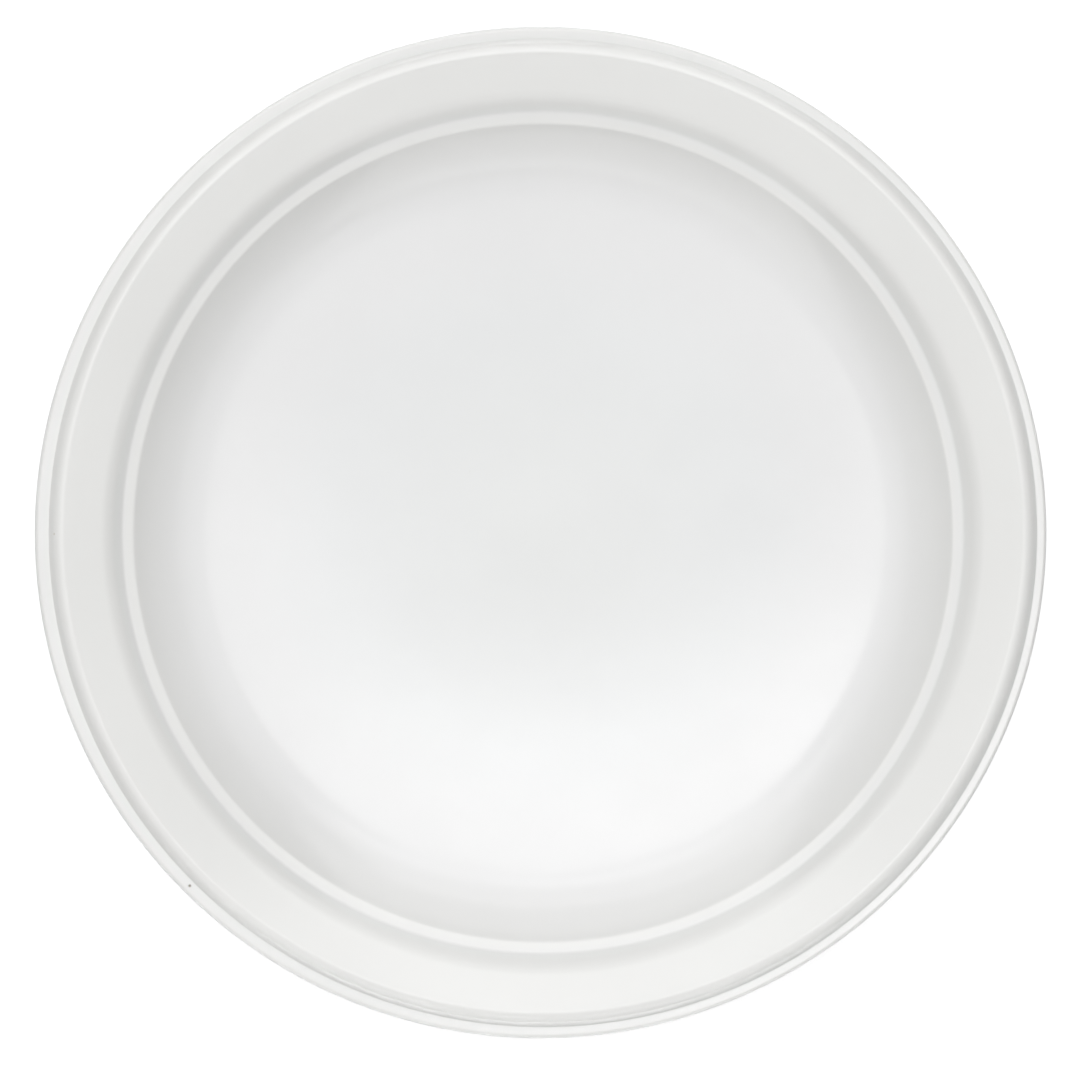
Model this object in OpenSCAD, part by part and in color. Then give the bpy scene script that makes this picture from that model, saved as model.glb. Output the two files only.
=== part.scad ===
// A glazed porcelain dinner plate, in millimetres. The tread of its foot ring lies at height zero,
// and the vertical axis is the plate's own. Sizes are of the finished plate, over the glaze.

/* [Plate] */
// Diameter over the lip
plate_d = 254; // [240:1:270]

/* [Well] */
// Width across the small level middle of the floor, which is dished all round it
middle_d = 20; // [14:1:40]
// Slope of the floor where it meets the wall, in degrees
dish_slope = 7.5; // [5:0.5:10]
// Width of the wall of the well
wall_w = 18.2; // [15:0.1:22]
// Slope at the top of the wall, in degrees
wall_slope = 40; // [32:1:48]
// Rounding of the well's mouth
mouth_r = 2; // [1.4:0.1:2.4]

/* [Ledge and rim] */
// Width of the ledge round the well's mouth
ledge_w = 2.8; // [2.4:0.1:4]
// Slope of the ledge, in degrees
ledge_slope = 12.5; // [8:0.5:16]
// Rounding in the corner at the back of the ledge
ledge_root_r = 2.4; // [1.6:0.1:2.8]
// Width of the shoulder between the ledge and the rim
shoulder_w = 4.8; // [4.2:0.1:6]
// Width of the shoulder's straight flank, beside the ledge
flank_w = 1.5; // [1:0.1:2]
// Slope of the flank, in degrees
shoulder_slope = 38; // [28:1:48]
// Width of the rim's straight slope
rim_w = 8.8; // [6:0.1:12]
// Slope of the rim, in degrees
rim_slope = 13.5; // [9:0.5:17]

/* [Lip] */
// Width of the roll that turns the rim down to the lip
roll_w = 4.3; // [3.6:0.1:4.8]
// Width of the straight drop at the end of the roll
drop_w = 1.2; // [0.9:0.1:1.6]
// Slope of the drop, in degrees
roll_slope = 48; // [38:1:56]
// Width of the lip, from the roll to the edge of the plate
lip_w = 2.8; // [2.5:0.1:3.6]
// Slope of the lip, in degrees
lip_slope = 7; // [4:0.5:10]
// Rounding in the crease between the roll and the lip
crease_r = 0.4; // [0.2:0.05:0.6]
// Rounding of the lip's upper edge
lip_top_r = 1; // [0.8:0.1:1.2]
// Rounding of the lip's lower edge
lip_under_r = 1.4; // [1:0.1:1.8]

/* [Thickness] */
// Thickness of the floor in its level middle
floor_t = 4.2; // [3.6:0.1:5.2]
// Thickness at the edge of the floor, beside the foot ring
heel_t = 5; // [4.2:0.1:5.8]
// Thickness at the top of the wall
wall_t = 4.6; // [4:0.1:5.5]
// Thickness of the rim
rim_t = 4.2; // [3.6:0.1:5]
// Thickness of the lip
lip_t = 3.2; // [3:0.1:3.8]

/* [Foot ring] */
// Distance from the edge of the floor in to the foot ring's tread
foot_inset = 7.3; // [6:0.1:9]
// Width of the tread, if its edges were sharp
tread_w = 5; // [4:0.1:7]
// Depth of the recess inside the foot ring, beside the ring
recess_h = 4.2; // [3.6:0.1:5]
// Slope at which the recess falls towards its middle, beside the ring, in degrees
recess_slope = 5; // [3:0.5:6.5]
// Slope of the foot ring's sides away from the vertical, in degrees
foot_draft = 18; // [10:1:25]
// Rounding of the tread's edges
tread_r = 0.9; // [0.6:0.1:1.2]
// Rounding where the foot ring grows out of the back
foot_root_r = 1.5; // [1:0.1:1.8]

/* [Glaze] */
// Thickness of the glaze
glaze_t = 0.25; // [0.15:0.05:0.4]
// Height of the bare clay on the foot ring's sides, from the tread's rounding up to the glaze
bare_h = 0.3; // [0.1:0.1:0.6]

/* [Hidden] */
$fn = 180;

// The largest turn between two points of a rounded stretch, in degrees
turn_step = 4;
// The least number of steps in a rounded stretch
least_steps = 6;
// The number of points on a fair curve between two places
fair_steps = 10;
// How far a fair curve's handles reach, as a share of its chord
handle_share = 1 / 3;

// Radii of the rings, from the lip in to the level middle, and of the foot ring's tread
plate_r = plate_d / 2;
crease_at_r = plate_r - lip_w;
rim_out_r = crease_at_r - roll_w;
rim_in_r = rim_out_r - rim_w;
ledge_out_r = rim_in_r - shoulder_w;
well_r = ledge_out_r - ledge_w;
dish_out_r = well_r - wall_w;
dish_in_r = middle_d / 2;
tread_out_r = dish_out_r - foot_inset;
tread_in_r = tread_out_r - tread_w;

// A profile is walked clockwise, out over the face and back in underneath, with the plate on its
// right. Each of its places is [radius, height, heading], and a heading is an angle in degrees.
outward = 0;
down = -90;
inward = -180;
up = -270;

function last(path) = path[len(path) - 1];

// The straight run from a place, along its heading, to a radius or to a height
function run_to_radius(p, r) = [r, p.y + (r - p.x) * tan(p.z), p.z];
function run_to_height(p, h) = [p.x + (h - p.y) / tan(p.z), h, p.z];

// An arc from a place to a new heading. A radius above zero turns left and hollows the plate.
function arc(p, radius, heading) =
    let (steps = max(least_steps, ceil(abs(heading - p.z) / turn_step)))
    [for (i = [1:steps])
        let (a = p.z + (heading - p.z) * i / steps)
        [p.x + radius * (sin(a) - sin(p.z)), p.y + radius * (cos(p.z) - cos(a)), a]];

// The arc from a place that reaches a radius with a new heading
function arc_to_radius(p, r, heading) = arc(p, (r - p.x) / (sin(heading) - sin(p.z)), heading);

// The place on a heading's line where a rounding begins that turns onto the line through q
function before_corner(p, q, radius) =
    let (
        along = [cos(p.z), sin(p.z)],
        onward = [cos(q.z), sin(q.z)],
        reach = cross([q.x - p.x, q.y - p.y], onward) / cross(along, onward),
        setback = radius * tan(abs(q.z - p.z) / 2),
        run = reach - setback
    )
    [p.x + run * along.x, p.y + run * along.y, p.z];

// The rounding of the corner where the lines through p and q meet
function corner(p, q, radius) =
    arc(before_corner(p, q, radius), sign(q.z - p.z) * radius, q.z);

// A smooth curve that leaves p and arrives at q with their headings
function fair(p, q) =
    let (
        a = [p.x, p.y],
        d = [q.x, q.y],
        handle = norm(d - a) * handle_share,
        b = a + handle * [cos(p.z), sin(p.z)],
        c = d - handle * [cos(q.z), sin(q.z)]
    )
    [for (i = [1:fair_steps])
        let (
            t = i / fair_steps,
            s = 1 - t,
            at = s * s * s * a + 3 * s * s * t * b + 3 * s * t * t * c + t * t * t * d,
            way = s * s * (b - a) + 2 * s * t * (c - b) + t * t * (d - c)
        )
        [at.x, at.y, atan2(way.y, way.x)]];

// The same place or profile, sunk into the plate by a depth square to the surface
function sunk(p, depth) = [p.x + depth * sin(p.z), p.y - depth * cos(p.z), p.z];
function sunk_all(path, depth) = [for (p = path) sunk(p, depth)];

// The place turned round, to walk in underneath where the face walks out
function turned(p) = [p.x, p.y, p.z + inward];

// Foot ring: its sides, tread and recess as straight lines, rounded where they meet. The recess
// then falls to a level middle, as the floor above it does.
outer_side = [tread_out_r, 0, down - foot_draft];
tread = [tread_out_r, 0, inward];
inner_side = [tread_in_r, 0, up + foot_draft];
recess_edge = [tread_in_r, recess_h, inward + recess_slope];

// The foot ring's sides are bare clay up to the wiped line, and glazed above it
tread_outer_edge = before_corner(outer_side, tread, tread_r);
wiped_h = tread_outer_edge.y + bare_h;
glazed_outer_side = sunk(outer_side, -glaze_t);
glazed_inner_side = sunk(inner_side, -glaze_t);
outer_wiped = run_to_height(glazed_outer_side, wiped_h);
inner_wiped = run_to_height(glazed_inner_side, wiped_h);
recess_root = corner(inner_wiped, recess_edge, foot_root_r);
recess_fall = arc_to_radius(last(recess_root), dish_in_r, inward);
recess_middle = run_to_radius(last(recess_fall), 0);

// Face: floor, wall, ledge, shoulder, rim, roll, lip
centre = [0, recess_middle.y + floor_t, outward];
dish_start = run_to_radius(centre, dish_in_r);
dish = arc_to_radius(dish_start, dish_out_r, dish_slope);
wall_end_r = well_r - mouth_r * (sin(wall_slope) - sin(ledge_slope));
wall = arc_to_radius(last(dish), wall_end_r, wall_slope);
mouth = arc(last(wall), -mouth_r, ledge_slope);
ledge_end_r = ledge_out_r - ledge_root_r * (sin(shoulder_slope) - sin(ledge_slope));
ledge_end = run_to_radius(last(mouth), ledge_end_r);
ledge_root = arc(ledge_end, ledge_root_r, shoulder_slope);
flank_end = run_to_radius(last(ledge_root), ledge_out_r + flank_w);
shoulder = arc_to_radius(flank_end, rim_in_r, rim_slope);
rim_end = run_to_radius(last(shoulder), rim_out_r);
roll = arc_to_radius(rim_end, crease_at_r - drop_w, -roll_slope);
drop_end_r = crease_at_r - crease_r * (sin(lip_slope) + sin(roll_slope));
drop_end = run_to_radius(last(roll), drop_end_r);
crease = arc(drop_end, crease_r, lip_slope);
lip_end = run_to_radius(last(crease), plate_r - lip_top_r * (1 + sin(lip_slope)));
lip_top = arc(lip_end, -lip_top_r, down);

face = concat([centre, dish_start], dish, wall, mouth, [ledge_end], ledge_root, [flank_end],
    shoulder, [rim_end], roll, [drop_end], crease, [lip_end], lip_top);

// Back: the lip's lower edge, then a fair curve that keeps the thickness under the rim, under the
// wall and under the edge of the floor
lip_under_end_r = plate_r - lip_under_r * (1 - sin(lip_slope));
lip_under_end = turned(sunk(run_to_radius(lip_end, lip_under_end_r), lip_t));
lip_under_start = [plate_r, lip_under_end.y + lip_under_r * cos(lip_slope), down];
lip_under = arc(lip_under_start, -lip_under_r, lip_under_end.z);
under_rim = turned(sunk(last(shoulder), rim_t));
under_wall = turned(sunk(last(wall), wall_t));
under_dish = turned(sunk(last(dish), heel_t));

back = concat([lip_under_start], lip_under, fair(last(lip_under), under_rim),
    fair(under_rim, under_wall), fair(under_wall, under_dish));

// The two coats of glaze as skins, from the air side
coat_skin = concat(face, back, [before_corner(under_dish, glazed_outer_side, foot_root_r)],
    corner(under_dish, glazed_outer_side, foot_root_r), [outer_wiped]);
recess_skin = concat([inner_wiped, before_corner(inner_wiped, recess_edge, foot_root_r)],
    recess_root, recess_fall, [recess_middle]);

// The bare tread between them
bare_foot = concat([tread_outer_edge], corner(outer_side, tread, tread_r),
    [before_corner(tread, inner_side, tread_r)], corner(tread, inner_side, tread_r));

function flat(path) = [for (p = path) [p.x, p.y]];
function backwards(path) = [for (i = [len(path) - 1:-1:0]) path[i]];

// A skin of glaze between its air side and the clay under it
module glaze(skin) {
    color([0.95, 0.955, 0.95])
        rotate_extrude()
            polygon(flat(concat(skin, backwards(sunk_all(skin, glaze_t)))));
}

// The fired clay: well, rim, lip and foot ring in one piece
module porcelain_body() {
    color([0.93, 0.92, 0.9])
        rotate_extrude()
            polygon(flat(concat(sunk_all(coat_skin, glaze_t), bare_foot,
                sunk_all(recess_skin, glaze_t))));
}

// Glaze over the face, round the lip, over the back and down the outside of the foot ring
module glaze_coat() {
    glaze(coat_skin);
}

// Glaze over the recess inside the foot ring
module foot_recess_glaze() {
    glaze(recess_skin);
}

porcelain_body();
glaze_coat();
foot_recess_glaze();
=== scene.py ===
# A white glazed porcelain dinner plate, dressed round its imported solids. The plate's own lengths are
# written in millimetres and turned to metres where a mesh or a material takes them; lamps, table and
# camera are placed in metres. Angles are in degrees until Blender takes them.
import math

import bpy
import numpy as np
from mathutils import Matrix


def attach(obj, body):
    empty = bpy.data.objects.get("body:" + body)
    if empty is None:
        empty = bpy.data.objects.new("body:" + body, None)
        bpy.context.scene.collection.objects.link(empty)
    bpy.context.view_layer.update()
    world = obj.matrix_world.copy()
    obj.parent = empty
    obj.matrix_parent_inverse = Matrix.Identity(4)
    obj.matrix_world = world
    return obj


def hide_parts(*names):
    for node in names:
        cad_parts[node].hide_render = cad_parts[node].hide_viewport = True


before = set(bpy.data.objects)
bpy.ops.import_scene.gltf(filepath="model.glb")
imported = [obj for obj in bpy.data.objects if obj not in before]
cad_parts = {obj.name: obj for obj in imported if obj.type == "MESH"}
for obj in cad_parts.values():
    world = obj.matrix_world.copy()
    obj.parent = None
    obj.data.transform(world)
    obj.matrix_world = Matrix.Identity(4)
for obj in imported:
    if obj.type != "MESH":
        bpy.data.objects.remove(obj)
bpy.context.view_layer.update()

MM = 0.001

# ---- The section of the plate, as the potter's profile tool cuts it ----
# Rings of the face, from the edge inward to the level middle
PLATE_R = 127.0
LIP_W = 2.8
ROLL_W = 4.3
RIM_W = 8.8
SHOULDER_W = 4.8
LEDGE_W = 2.8
WALL_W = 18.2
MIDDLE_D = 20.0
# Straight parts of two curved rings: the roll's outer end and the shoulder's foot
DROP_W = 1.2
FLANK_W = 1.5
# Slopes: a straight ring's own, and a curved ring's where it is steepest
DISH_SLOPE = 7.5
WALL_SLOPE = 40.0
LEDGE_SLOPE = 12.5
SHOULDER_SLOPE = 38.0
RIM_SLOPE = 13.5
ROLL_SLOPE = 48.0
LIP_SLOPE = 7.0
# Small roundings between the rings
MOUTH_R = 2.0
LEDGE_ROOT_R = 2.4
CREASE_R = 0.4
LIP_TOP_R = 1.0
LIP_UNDER_R = 1.4
# Thicknesses
FLOOR_T = 4.2
HEEL_T = 5.0
WALL_T = 4.6
RIM_T = 4.2
LIP_T = 3.2
# Foot ring, and the recess inside it
FOOT_INSET = 7.3
TREAD_W = 5.0
RECESS_H = 4.2
RECESS_SLOPE = 5.0
FOOT_DRAFT = 18.0
TREAD_R = 0.9
FOOT_ROOT_R = 1.5
# Glaze, and how far up the foot it is wiped off
GLAZE_T = 0.25
BARE_H = 0.3

OUTWARD = 0.0
DOWN = -90.0
INWARD = -180.0
UP = -270.0

CREASE_AT_R = PLATE_R - LIP_W
RIM_OUT_R = CREASE_AT_R - ROLL_W
RIM_IN_R = RIM_OUT_R - RIM_W
LEDGE_OUT_R = RIM_IN_R - SHOULDER_W
WELL_R = LEDGE_OUT_R - LEDGE_W
DISH_OUT_R = WELL_R - WALL_W
DISH_IN_R = MIDDLE_D / 2
TREAD_OUT_R = DISH_OUT_R - FOOT_INSET
TREAD_IN_R = TREAD_OUT_R - TREAD_W

# How finely the section is cut into edges: the longest edge, and the most that the heading turns
# from one edge to the next. Level and small stretches are cut more coarsely.
LONGEST_EDGE = 3.0
LONGEST_LEVEL_EDGE = 4.0
FINE_TURN = 2.0
MOUTH_TURN = 4.0
CORNER_TURN = 5.0
SMALL_TURN = 6.0
FEWEST_ARC_EDGES = 4
FAIR_EDGES = 14


def sin(degrees):
    return math.sin(math.radians(degrees))


def cos(degrees):
    return math.cos(math.radians(degrees))


def tan(degrees):
    return math.tan(math.radians(degrees))


# A place on the section is (radius, height, heading), walked clockwise with the plate on the
# right. A heading is an angle in degrees: 0 outward, -90 down, -180 inward.
def run_to_radius(p, r, longest=LONGEST_EDGE):
    """A straight run along a place's heading, cut short enough for the light to read it evenly."""
    n = max(1, math.ceil(abs(r - p[0]) / longest))
    return [(p[0] + (r - p[0]) * i / n, p[1] + (r - p[0]) * i / n * tan(p[2]), p[2])
            for i in range(1, n + 1)]


def run_to_height(p, h):
    return (p[0] + (h - p[1]) / tan(p[2]), h, p[2])


def arc(p, radius, heading, turn=FINE_TURN):
    """A rounded stretch from a place to a new heading. A radius above zero hollows the plate."""
    length = abs(radius) * math.radians(abs(heading - p[2]))
    n = max(FEWEST_ARC_EDGES, math.ceil(abs(heading - p[2]) / turn), math.ceil(length / LONGEST_EDGE))
    out = []
    for i in range(1, n + 1):
        a = p[2] + (heading - p[2]) * i / n
        out.append((p[0] + radius * (sin(a) - sin(p[2])), p[1] + radius * (cos(p[2]) - cos(a)), a))
    return out


def arc_to_radius(p, r, heading):
    return arc(p, (r - p[0]) / (sin(heading) - sin(p[2])), heading)


def before_corner(p, q, radius):
    """Where a rounding begins that turns from the line through p onto the line through q."""
    along = (cos(p[2]), sin(p[2]))
    onward = (cos(q[2]), sin(q[2]))
    across = along[0] * onward[1] - along[1] * onward[0]
    reach = ((q[0] - p[0]) * onward[1] - (q[1] - p[1]) * onward[0]) / across
    run = reach - radius * tan(abs(q[2] - p[2]) / 2)
    return (p[0] + run * along[0], p[1] + run * along[1], p[2])


def corner(p, q, radius):
    return arc(before_corner(p, q, radius), math.copysign(radius, q[2] - p[2]), q[2], CORNER_TURN)


def fair(p, q):
    """A smooth curve that leaves p and reaches q with their headings."""
    handle = math.hypot(q[0] - p[0], q[1] - p[1]) / 3
    b = (p[0] + handle * cos(p[2]), p[1] + handle * sin(p[2]))
    c = (q[0] - handle * cos(q[2]), q[1] - handle * sin(q[2]))
    out = []
    for i in range(1, FAIR_EDGES + 1):
        t = i / FAIR_EDGES
        s = 1 - t
        at = [s ** 3 * p[k] + 3 * s * s * t * b[k] + 3 * s * t * t * c[k] + t ** 3 * q[k]
              for k in (0, 1)]
        way = [s * s * (b[k] - p[k]) + 2 * s * t * (c[k] - b[k]) + t * t * (q[k] - c[k])
               for k in (0, 1)]
        out.append((at[0], at[1], math.degrees(math.atan2(way[1], way[0]))))
    return out


def sunk(p, depth):
    """A place moved into the plate, square to its heading."""
    return (p[0] + depth * sin(p[2]), p[1] - depth * cos(p[2]), p[2])


def turned(p):
    """A place walked the other way."""
    return (p[0], p[1], p[2] + INWARD)


# Foot ring
outer_side = (TREAD_OUT_R, 0.0, DOWN - FOOT_DRAFT)
tread = (TREAD_OUT_R, 0.0, INWARD)
inner_side = (TREAD_IN_R, 0.0, UP + FOOT_DRAFT)
recess_edge = (TREAD_IN_R, RECESS_H, INWARD + RECESS_SLOPE)
tread_outer_edge = before_corner(outer_side, tread, TREAD_R)
wiped_h = tread_outer_edge[1] + BARE_H
glazed_outer_side = sunk(outer_side, -GLAZE_T)
glazed_inner_side = sunk(inner_side, -GLAZE_T)
outer_wiped = run_to_height(glazed_outer_side, wiped_h)
inner_wiped = run_to_height(glazed_inner_side, wiped_h)
recess_skin = [inner_wiped, before_corner(inner_wiped, recess_edge, FOOT_ROOT_R)]
recess_skin += corner(inner_wiped, recess_edge, FOOT_ROOT_R)
recess_skin += arc_to_radius(recess_skin[-1], DISH_IN_R, INWARD)
recess_skin += run_to_radius(recess_skin[-1], 0.0, LONGEST_LEVEL_EDGE)

# Face: level middle, dish, wall, ledge, shoulder, rim, roll and lip
face = [(0.0, recess_skin[-1][1] + FLOOR_T, OUTWARD)]
face += run_to_radius(face[-1], DISH_IN_R, LONGEST_LEVEL_EDGE)
face += arc_to_radius(face[-1], DISH_OUT_R, DISH_SLOPE)
under_dish = turned(sunk(face[-1], HEEL_T))
face += arc_to_radius(face[-1], WELL_R - MOUTH_R * (sin(WALL_SLOPE) - sin(LEDGE_SLOPE)), WALL_SLOPE)
under_wall = turned(sunk(face[-1], WALL_T))
face += arc(face[-1], -MOUTH_R, LEDGE_SLOPE, MOUTH_TURN)
face += run_to_radius(face[-1], LEDGE_OUT_R - LEDGE_ROOT_R * (sin(SHOULDER_SLOPE) - sin(LEDGE_SLOPE)))
face += arc(face[-1], LEDGE_ROOT_R, SHOULDER_SLOPE, SMALL_TURN)
face += run_to_radius(face[-1], LEDGE_OUT_R + FLANK_W)
face += arc_to_radius(face[-1], RIM_IN_R, RIM_SLOPE)
under_rim = turned(sunk(face[-1], RIM_T))
face += run_to_radius(face[-1], RIM_OUT_R)
face += arc_to_radius(face[-1], CREASE_AT_R - DROP_W, -ROLL_SLOPE)
face += run_to_radius(face[-1], CREASE_AT_R - CREASE_R * (sin(LIP_SLOPE) + sin(ROLL_SLOPE)))
face += arc(face[-1], CREASE_R, LIP_SLOPE, SMALL_TURN)
face += run_to_radius(face[-1], PLATE_R - LIP_TOP_R * (1 + sin(LIP_SLOPE)))
lip_end = face[-1]
face += arc(face[-1], -LIP_TOP_R, DOWN, SMALL_TURN)

# Back
lip_under_end_r = PLATE_R - LIP_UNDER_R * (1 - sin(LIP_SLOPE))
lip_under_end = turned(sunk(run_to_radius(lip_end, lip_under_end_r)[-1], LIP_T))
back = [(PLATE_R, lip_under_end[1] + LIP_UNDER_R * cos(LIP_SLOPE), DOWN)]
back += arc(back[-1], -LIP_UNDER_R, lip_under_end[2], SMALL_TURN)
back += fair(back[-1], under_rim)
back += fair(under_rim, under_wall)
back += fair(under_wall, under_dish)

coat_skin = face + back + [before_corner(under_dish, glazed_outer_side, FOOT_ROOT_R)]
coat_skin += corner(under_dish, glazed_outer_side, FOOT_ROOT_R) + [outer_wiped]
bare_foot = [tread_outer_edge] + corner(outer_side, tread, TREAD_R)
bare_foot += [before_corner(tread, inner_side, TREAD_R)] + corner(tread, inner_side, TREAD_R)


def clay_under(skin):
    """The clay's surface under a skin of glaze. It is hidden, so it keeps every second place."""
    kept = skin[:1] + skin[1:-1:2] + skin[-1:]
    return [sunk(p, GLAZE_T) for p in kept]


coat_clay = clay_under(coat_skin)
recess_clay = clay_under(recess_skin)

# ---- How a section becomes a piece ----
SPIN_STEPS = 256
SAME_PLACE_M = 1e-6
SHARP_ANGLE = 40.0
# The lip was trimmed a little off centre, so it is wider on the -X side than on the +X side. All
# that lies inside it stands this far towards +X, and the outermost part of the edge stays.
OFF_CENTRE = 0.6
EDGE_THAT_STAYS_W = 0.2


def off_centre(piece):
    """Moves all that lies inside the lip sideways, fading out across the lip."""
    co = np.zeros(len(piece.data.vertices) * 3)
    piece.data.vertices.foreach_get("co", co)
    co = co.reshape(-1, 3)
    r = np.hypot(co[:, 0], co[:, 1]) / MM
    stays_from_r = PLATE_R - EDGE_THAT_STAYS_W
    share = np.clip((stays_from_r - r) / (stays_from_r - CREASE_AT_R), 0, 1)
    co[:, 0] += OFF_CENTRE * MM * share * share * (3 - 2 * share)
    piece.data.vertices.foreach_set("co", co.ravel())
    piece.data.update()


def spin_piece(name, section):
    """Draws a section edge by edge from one point, then spins it round the plate's axis."""
    bpy.ops.object.select_all(action="DESELECT")
    bpy.ops.mesh.primitive_plane_add(size=MM, location=(section[0][0] * MM, 0.0, section[0][1] * MM))
    piece = bpy.context.object
    piece.name = piece.data.name = name
    bpy.ops.object.transform_apply(location=True, rotation=True, scale=True)
    bpy.ops.object.mode_set(mode="EDIT")
    bpy.ops.mesh.select_all(action="SELECT")
    bpy.ops.mesh.merge(type="CENTER")
    for here, there in zip(section, section[1:]):
        step = ((there[0] - here[0]) * MM, 0.0, (there[1] - here[1]) * MM)
        bpy.ops.mesh.extrude_region_move(TRANSFORM_OT_translate={"value": step})
    bpy.ops.mesh.select_all(action="SELECT")
    bpy.ops.mesh.spin(steps=SPIN_STEPS, angle=2 * math.pi, center=(0, 0, 0), axis=(0, 0, 1))
    bpy.ops.mesh.select_all(action="SELECT")
    bpy.ops.mesh.remove_doubles(threshold=SAME_PLACE_M)
    bpy.ops.mesh.normals_make_consistent(inside=False)
    bpy.ops.object.mode_set(mode="OBJECT")
    off_centre(piece)
    bpy.ops.object.shade_smooth_by_angle(angle=math.radians(SHARP_ANGLE))
    return piece


# ---- Materials ----
def linear(colour):
    """An sRGB hex colour as Blender's linear red, green, blue and alpha."""
    parts = [int(colour[i:i + 2], 16) / 255 for i in (1, 3, 5)]
    return tuple(c / 12.92 if c <= 0.04045 else ((c + 0.055) / 1.055) ** 2.4 for c in parts) + (1.0,)


def add(tree, kind, settings=None, inputs=None):
    """Adds a node, sets its settings, and sets or links its inputs."""
    node = tree.nodes.new(kind)
    for name, value in (settings or {}).items():
        setattr(node, name, value)
    for name, value in (inputs or {}).items():
        socket = node.inputs[name]
        if isinstance(value, bpy.types.NodeSocket):
            tree.links.new(value, socket)
        else:
            socket.default_value = value
    return node


def new_material(name):
    material = bpy.data.materials.new(name)
    material.use_nodes = True
    tree = material.node_tree
    tree.nodes.clear()
    return material, tree


CERAMIC_IOR = 1.5

# The glaze's colour against radius: cool in the well, warmer on the rim. A shade darker in the
# hollows, at the ledge's root and in the crease: that darkening is painted shade. The last 0.3 mm goes
# up to white.
GLAZE_TINTS_AND_SHADE = [
    (0.0, "#EBECEB"),
    (55.0, "#EBECEC"),
    (75.0, "#ECECEC"),
    (88.0, "#ECECEC"),
    (96.0, "#ECECEB"),
    (WELL_R, "#EDEDEB"),
    (LEDGE_OUT_R - 0.4, "#ECECEB"),
    (LEDGE_OUT_R + 0.2, "#EBECEA"),
    (LEDGE_OUT_R + 1.4, "#ECECEA"),
    (RIM_IN_R, "#ECECEA"),
    (RIM_OUT_R, "#EDEDEB"),
    (CREASE_AT_R - 0.8, "#ECECEA"),
    (CREASE_AT_R, "#EAEBE9"),
    (CREASE_AT_R + 0.7, "#ECECEB"),
    (PLATE_R - 0.3, "#ECECEA"),
    (PLATE_R, "#FFFFFF"),
]

# Clouding in the glaze, too faint to name as a pattern
CLOUD_SIZE = 40
CLOUD_TINT = "#FCFCFC"

# Iron specks from the clay. Few of the places that they could take lie in the surface, so the
# whole plate has only a handful. Each is full up to one radius and gone at the other.
SPECK_CELL = 25
SPECK_FULL_R = 0.1
SPECK_GONE_R = 0.3
SPECK_TINT = "#C9C2B4"

# The glaze flows level in the kiln but not quite: long swells with short ripples on them
SWELL_LENGTH = 28
SWELL_DEPTH = 0.10
RIPPLE_LENGTH = 9
RIPPLE_DEPTH = 0.012

# Rings that the turning tool leaves
TURNING_PITCH = 5
TURNING_DEPTH = 0.010

# A burst bubble in the lip, left open by the firing
PINHOLE_X = -88.0
PINHOLE_Y = -88.6
PINHOLE_BOTTOM_R = 0.2
PINHOLE_R = 0.5
PINHOLE_DEPTH = 0.15
PINHOLE_TINT = "#9A948A"

# Wear dulls the gloss a little, unevenly
GLOSSY = 0.14
DULLED = 0.18


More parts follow.
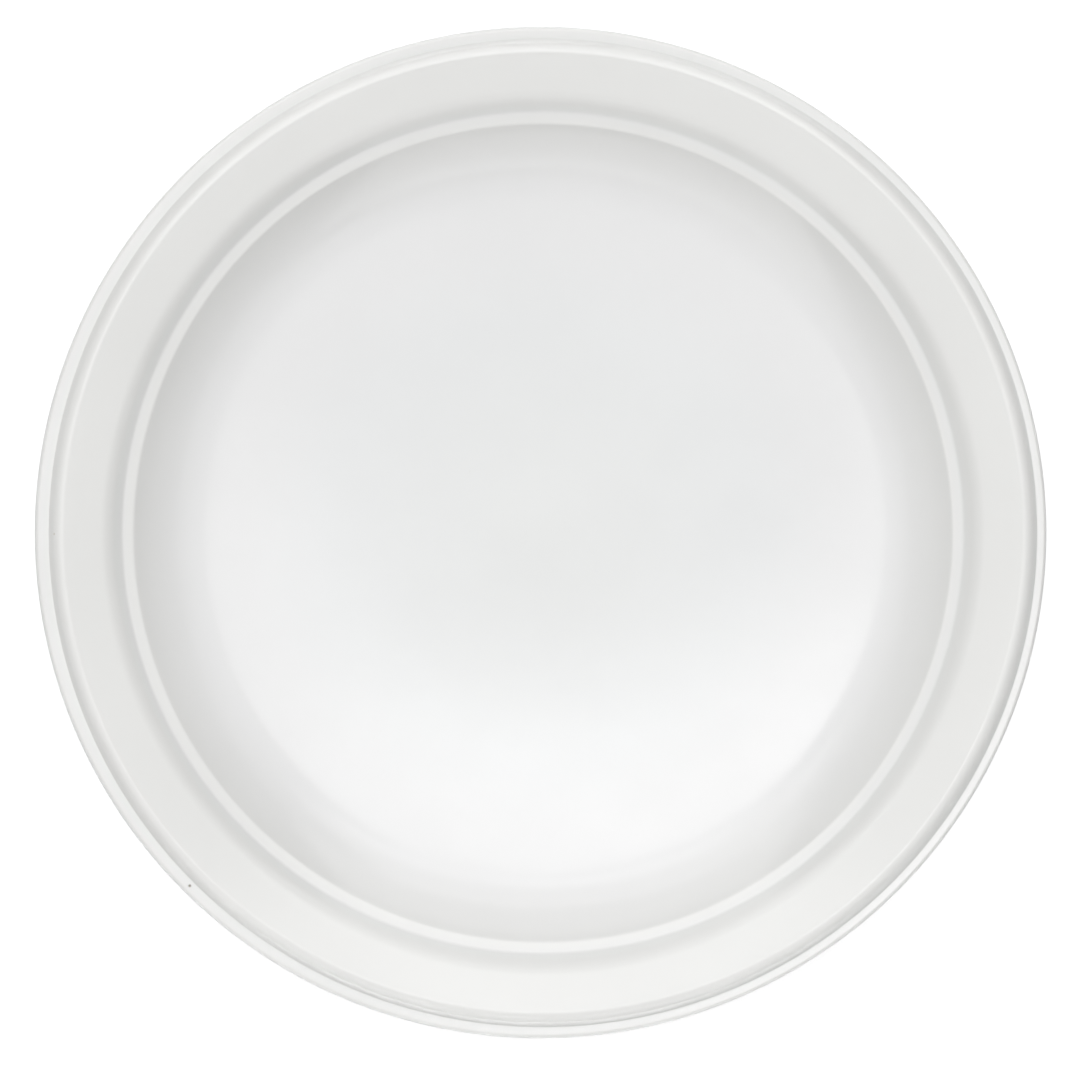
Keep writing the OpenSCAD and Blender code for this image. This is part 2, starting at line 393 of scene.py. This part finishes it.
def glazed_porcelain(name, seed, pinhole=None):
    """Clear feldspar glaze, fired to glass over a white body. To the eye it is one white surface
    with soft, slightly wavy reflections, cooler in the well and warmer on the rim."""
    material, tree = new_material(name)
    place = add(tree, "ShaderNodeTexCoord").outputs["Object"]
    flat_place = add(tree, "ShaderNodeVectorMath", {"operation": "MULTIPLY"},
                     {0: place, 1: (1.0, 1.0, 0.0)})
    radius = add(tree, "ShaderNodeVectorMath", {"operation": "LENGTH"},
                 {0: flat_place.outputs["Vector"]})
    share = add(tree, "ShaderNodeMapRange", None,
                {"Value": radius.outputs["Value"], "From Max": PLATE_R * MM})
    # The glaze's tints against radius, with painted shade in the hollows at the ledge's root and in
    # the crease
    tint_and_shade = add(tree, "ShaderNodeValToRGB", None, {"Fac": share.outputs["Result"]})
    ramp = tint_and_shade.color_ramp
    ramp.elements[0].color = linear(GLAZE_TINTS_AND_SHADE[0][1])
    ramp.elements[1].color = linear(GLAZE_TINTS_AND_SHADE[-1][1])
    for r, colour in GLAZE_TINTS_AND_SHADE[1:-1]:
        ramp.elements.new(r / PLATE_R).color = linear(colour)

    cloud = add(tree, "ShaderNodeTexNoise", {"noise_dimensions": "4D"},
                {"Vector": place, "W": seed, "Scale": 1 / (CLOUD_SIZE * MM), "Detail": 3.0,
                 "Roughness": 0.55})
    cloudy = add(tree, "ShaderNodeMapRange", None,
                 {"Value": cloud.outputs["Fac"], "From Min": 0.3, "From Max": 0.7})
    clouded = add(tree, "ShaderNodeMix", {"data_type": "RGBA", "blend_type": "MULTIPLY"},
                  {0: cloudy.outputs["Result"], 6: tint_and_shade.outputs["Color"], 7: linear(CLOUD_TINT)})

    speck_cell = add(tree, "ShaderNodeTexVoronoi", None,
                     {"Vector": place, "Scale": 1 / (SPECK_CELL * MM), "Randomness": 1.0})
    speck = add(tree, "ShaderNodeMapRange", {"interpolation_type": "SMOOTHSTEP"},
                {"Value": speck_cell.outputs["Distance"],
                 "From Min": SPECK_GONE_R / SPECK_CELL, "From Max": SPECK_FULL_R / SPECK_CELL})
    specked = add(tree, "ShaderNodeMix", {"data_type": "RGBA"},
                  {0: speck.outputs["Result"], 6: clouded.outputs[2], 7: linear(SPECK_TINT)})
    colour = specked.outputs[2]

    wave = add(tree, "ShaderNodeTexNoise", {"noise_dimensions": "4D"},
               {"Vector": place, "W": seed + 3.0, "Scale": 1 / (SWELL_LENGTH * MM), "Detail": 1.0,
                "Roughness": 0.4})
    swell = add(tree, "ShaderNodeBump", None,
                {"Height": wave.outputs["Fac"], "Strength": 1.0, "Distance": SWELL_DEPTH * MM})
    ripple = add(tree, "ShaderNodeTexNoise", {"noise_dimensions": "4D"},
                 {"Vector": place, "W": seed + 7.0, "Scale": 1 / (RIPPLE_LENGTH * MM), "Detail": 2.0,
                  "Roughness": 0.5})
    rippled = add(tree, "ShaderNodeBump", None,
                  {"Height": ripple.outputs["Fac"], "Strength": 1.0, "Distance": RIPPLE_DEPTH * MM,
                   "Normal": swell.outputs["Normal"]})
    turning = add(tree, "ShaderNodeTexNoise", {"noise_dimensions": "1D"},
                  {"W": radius.outputs["Value"], "Scale": 1 / (TURNING_PITCH * MM), "Detail": 1.0})
    ringed = add(tree, "ShaderNodeBump", None,
                 {"Height": turning.outputs["Fac"], "Strength": 1.0, "Distance": TURNING_DEPTH * MM,
                  "Normal": rippled.outputs["Normal"]})
    normal = ringed.outputs["Normal"]

    if pinhole:
        gap = add(tree, "ShaderNodeVectorMath", {"operation": "DISTANCE"}, {0: place, 1: pinhole})
        pit = add(tree, "ShaderNodeMapRange", {"interpolation_type": "SMOOTHSTEP"},
                  {"Value": gap.outputs["Value"], "From Min": PINHOLE_R * MM,
                   "From Max": PINHOLE_BOTTOM_R * MM})
        pitted = add(tree, "ShaderNodeBump", {"invert": True},
                     {"Height": pit.outputs["Result"], "Strength": 1.0,
                      "Distance": PINHOLE_DEPTH * MM, "Normal": normal})
        normal = pitted.outputs["Normal"]
        stained = add(tree, "ShaderNodeMix", {"data_type": "RGBA"},
                      {0: pit.outputs["Result"], 6: colour, 7: linear(PINHOLE_TINT)})
        colour = stained.outputs[2]

    dull = add(tree, "ShaderNodeMapRange", None,
               {"Value": ripple.outputs["Fac"], "From Min": 0.3, "From Max": 0.7,
                "To Min": GLOSSY, "To Max": DULLED})
    shader = add(tree, "ShaderNodeBsdfPrincipled", None,
                 {"Base Color": colour, "Roughness": dull.outputs["Result"], "IOR": CERAMIC_IOR,
                  "Normal": normal})
    add(tree, "ShaderNodeOutputMaterial", None, {"Surface": shader.outputs["BSDF"]})
    return material


# The fired grain, rubbed smooth
GRAIN_SIZE = 0.4
GRAIN_DEPTH = 0.03
GRAIN_DARK = "#DDD6C9"
GRAIN_LIGHT = "#EBE6DC"

# Grey streaks on the tread, gone a little above it
SCUFF_SIZE = 6
SCUFF_TINT = "#A9A6A0"
SCUFF_MOST = 0.35
SCUFF_HEIGHT = 0.35

# Dry where it is bare, and polished where it is scuffed
CLAY_ROUGHNESS = 0.78
SCUFF_ROUGHNESS = 0.45


def bare_vitrified_clay(name):
    """Porcelain clay fired hard without glaze and rubbed smooth: a dry warm white with a fine grain,
    greyed in streaks where the tread has slid over shelves and other plates."""
    material, tree = new_material(name)
    place = add(tree, "ShaderNodeTexCoord").outputs["Object"]
    grain = add(tree, "ShaderNodeTexNoise", None,
                {"Vector": place, "Scale": 1 / (GRAIN_SIZE * MM), "Detail": 4.0, "Roughness": 0.65})
    grain_tone = add(tree, "ShaderNodeValToRGB", None, {"Fac": grain.outputs["Fac"]})
    dark_end, light_end = grain_tone.color_ramp.elements
    dark_end.position = 0.3
    dark_end.color = linear(GRAIN_DARK)
    light_end.position = 0.65
    light_end.color = linear(GRAIN_LIGHT)
    scuff = add(tree, "ShaderNodeTexNoise", None,
                {"Vector": place, "Scale": 1 / (SCUFF_SIZE * MM), "Detail": 5.0, "Roughness": 0.7,
                 "Distortion": 0.8})
    scuff_share = add(tree, "ShaderNodeMapRange", None,
                      {"Value": scuff.outputs["Fac"], "From Min": 0.52, "From Max": 0.72,
                       "To Max": SCUFF_MOST})
    height = add(tree, "ShaderNodeSeparateXYZ", None, {"Vector": place})
    on_tread = add(tree, "ShaderNodeMapRange", None,
                   {"Value": height.outputs["Z"], "From Min": SCUFF_HEIGHT * MM, "From Max": 0.0})
    worn = add(tree, "ShaderNodeMath", {"operation": "MULTIPLY"},
               {0: scuff_share.outputs["Result"], 1: on_tread.outputs["Result"]})
    scuffed = add(tree, "ShaderNodeMix", {"data_type": "RGBA"},
                  {0: worn.outputs["Value"], 6: grain_tone.outputs["Color"], 7: linear(SCUFF_TINT)})
    rough = add(tree, "ShaderNodeMapRange", None,
                {"Value": worn.outputs["Value"], "To Min": CLAY_ROUGHNESS, "To Max": SCUFF_ROUGHNESS})
    sand = add(tree, "ShaderNodeBump", None,
               {"Height": grain.outputs["Fac"], "Strength": 1.0, "Distance": GRAIN_DEPTH * MM})
    shader = add(tree, "ShaderNodeBsdfPrincipled", None,
                 {"Base Color": scuffed.outputs[2], "Roughness": rough.outputs["Result"],
                  "IOR": CERAMIC_IOR, "Normal": sand.outputs["Normal"]})
    add(tree, "ShaderNodeOutputMaterial", None, {"Surface": shader.outputs["BSDF"]})
    return material


# ---- The three pieces ----
fired_clay = spin_piece("fired_clay", coat_clay + bare_foot + recess_clay)
fired_clay.data.materials.append(bare_vitrified_clay("bare vitrified clay"))

outer_glaze = spin_piece("outer_glaze", coat_skin + coat_clay[::-1])
outer_glaze.data.materials.append(
    glazed_porcelain("glazed porcelain", 1.0,
                     pinhole=(PINHOLE_X * MM, PINHOLE_Y * MM, lip_end[1] * MM)))

recess_glaze = spin_piece("recess_glaze", recess_skin + recess_clay[::-1])
recess_glaze.data.materials.append(glazed_porcelain("glazed porcelain in the recess", 5.0))

for piece, node, slot in ((fired_clay, "porcelain_body", "porcelain"),
                          (outer_glaze, "glaze_coat", "glaze"),
                          (recess_glaze, "foot_recess_glaze", "glaze")):
    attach(piece, "root")
    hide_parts(node)

# ---- Stage: a white table in a white room. The room is white to the camera only ----
TABLE_SIDE = 8.0
TABLE_GAP = 0.02
TABLE_TINT = "#D6D6D6"
# Added for the camera alone, so the table looks white with no more light on the plate
TABLE_GLOW = 0.62

bpy.ops.object.select_all(action="DESELECT")
bpy.ops.mesh.primitive_plane_add(size=TABLE_SIDE, location=(0, 0, -TABLE_GAP * MM))
floor = bpy.context.object
floor.name = "floor"
white_table, tree = new_material("white table")
ray = add(tree, "ShaderNodeLightPath")
matt = add(tree, "ShaderNodeBsdfDiffuse", None, {"Color": linear(TABLE_TINT)})
glow = add(tree, "ShaderNodeEmission", None, {"Color": linear("#FFFFFF"), "Strength": TABLE_GLOW})
seen = add(tree, "ShaderNodeMixShader", None,
           {0: ray.outputs["Is Camera Ray"], 2: glow.outputs["Emission"]})
both = add(tree, "ShaderNodeAddShader", None, {0: matt.outputs["BSDF"], 1: seen.outputs["Shader"]})
add(tree, "ShaderNodeOutputMaterial", None, {"Surface": both.outputs["Shader"]})
floor.data.materials.append(white_table)

room = bpy.data.worlds.new("room")
bpy.context.scene.world = room
room.use_nodes = True
tree = room.node_tree
tree.nodes.clear()
ray = add(tree, "ShaderNodeLightPath")
backdrop = add(tree, "ShaderNodeBackground", None, {"Color": linear("#FFFFFF"), "Strength": 1.0})
sky = add(tree, "ShaderNodeMixShader", None,
          {0: ray.outputs["Is Camera Ray"], 2: backdrop.outputs["Background"]})
add(tree, "ShaderNodeOutputWorld", None, {"Surface": sky.outputs["Shader"]})

# ---- Lamps: soft boxes round the camera, brightest just behind it, all as far from the plate ----
LAMP_DISTANCE = 5.0

# name, direction round the plate from +X, angle from the zenith, width, depth, radiance. The width
# runs round the plate and the depth up and down.
SOFT_BOXES = [
    ("overhead_panel", 90, 4, 7.0, 6.5, 0.72),
    ("inner_right", 20, 6, 0.6, 0.36, 2.01),
    ("inner_back", 90, 6, 0.6, 0.36, 1.96),
    ("inner_left", 160, 6, 0.6, 0.36, 0.39),
    ("key_1", 0, 9.3, 0.52, 0.3, 2.89),
    ("key_2", 36, 9.3, 0.52, 0.3, 0.70),
    ("key_3", 72, 9.3, 0.52, 0.3, 0.77),
    ("key_4", 108, 9.3, 0.52, 0.3, 1.14),
    ("key_5", 144, 9.3, 0.52, 0.3, 2.66),
    ("key_6", 180, 9.3, 0.52, 0.3, 0.76),
    ("outer_3", 120, 12.5, 1.1, 0.5, 0.22),
    ("outer_4", 180, 12.5, 1.1, 0.5, 1.43),
    ("high_right", 15, 20, 1.8, 1.0, 0.31),
    ("high_back", 90, 20, 2.4, 1.0, 1.51),
    ("high_left", 165, 20, 1.8, 1.0, 0.41),
    ("key_halo", 97, 9, 1.8, 1.0, 2.81),
    ("zenith_glow", 90, 0.5, 0.8, 0.7, 0.29),
    ("front_near", 265, 8, 2.0, 0.8, 0.75),
    ("back_panel", 95, 30, 4.0, 2.2, 1.67),
    ("front_panel", 262, 30, 4.0, 2.5, 0.53),
    ("back_fill", 92, 55, 6.0, 3.0, 1.52),
    ("front_fill", 262, 52, 6.0, 3.5, 1.26),
]

# name, place along Y, height, spread, width, depth, radiance: gridded lamps that face straight down
# and light the table behind and in front of the plate
TABLE_LAMPS = [
    ("table_lamp_back", 0.30, 0.20, 36, 0.36, 0.14, 6.5),
    ("table_lamp_front", -0.45, 0.35, 70, 0.8, 0.2, 18.0),
]


def flat_lamp(name, width, depth, radiance):
    """A lamp with an evenly bright rectangular face, which the camera doesn't see."""
    lamp = bpy.data.lights.new(name, "AREA")
    lamp.shape = "RECTANGLE"
    lamp.size = width
    lamp.size_y = depth
    lamp.energy = radiance * math.pi * width * depth
    box = bpy.data.objects.new(name, lamp)
    box.visible_camera = False
    bpy.context.scene.collection.objects.link(box)
    return box


for name, around, lean, width, depth, radiance in SOFT_BOXES:
    box = flat_lamp(name, width, depth, radiance)
    reach = LAMP_DISTANCE * sin(lean)
    box.location = (reach * cos(around), reach * sin(around), LAMP_DISTANCE * cos(lean))
    box.rotation_euler = (math.radians(lean), 0.0, math.radians(around + 90))

for name, along, height, spread, width, depth, radiance in TABLE_LAMPS:
    box = flat_lamp(name, width, depth, radiance)
    box.location = (0.0, along, height)
    box.data.spread = math.radians(spread)

# ---- Camera: straight above, as the photograph was taken ----
FRAME_PX = 1080
PLATE_RADIUS_PX = 506.3
PLATE_CENTRE_PX = (540.57, 532.65)
CAMERA_DISTANCE = 1.2
SENSOR_WIDTH = 36.0
FARTHEST_SEEN = 30.0

lip_height = max(height for r, height, heading in face if r > CREASE_AT_R) * MM
pixel = PLATE_R * MM / PLATE_RADIUS_PX
camera = bpy.data.objects.new("camera", bpy.data.cameras.new("camera"))
bpy.context.scene.collection.objects.link(camera)
camera.location = ((FRAME_PX / 2 - PLATE_CENTRE_PX[0]) * pixel,
                   (PLATE_CENTRE_PX[1] - FRAME_PX / 2) * pixel,
                   lip_height + CAMERA_DISTANCE)
camera.data.sensor_width = SENSOR_WIDTH
camera.data.lens = SENSOR_WIDTH * CAMERA_DISTANCE / (FRAME_PX * pixel)
camera.data.clip_end = FARTHEST_SEEN
bpy.context.scene.camera = camera
bpy.context.scene.view_settings.view_transform = "Standard"
